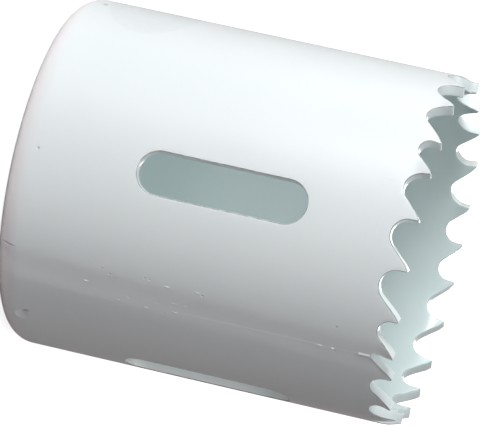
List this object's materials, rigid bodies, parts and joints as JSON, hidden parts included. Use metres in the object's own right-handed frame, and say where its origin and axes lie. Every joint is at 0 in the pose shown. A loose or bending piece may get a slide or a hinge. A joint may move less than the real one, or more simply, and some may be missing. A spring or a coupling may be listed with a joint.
{
  "type": "hole saw",
  "caption": "Cup-shaped hole saw: a toothed strip rolled and welded into a slotted tube, closed by a threaded back plate with drive pin holes.",
  "frame": {"origin": "centre of the back plate's outer face, on the saw's axis", "axes": "+Z along the saw's axis, from the back face towards the tooth tips; the saw stands on its back face; +X and +Y pass through slots in the wall"},
  "size_m": [0.041, 0.041, 0.047],
  "materials": {
    "saw_paint": "smooth glossy white enamel over steel"
  },
  "bodies": {
    "root": {"saw_tube": "saw_paint", "back_plate": "saw_paint"}
  },
  "joints": []
}
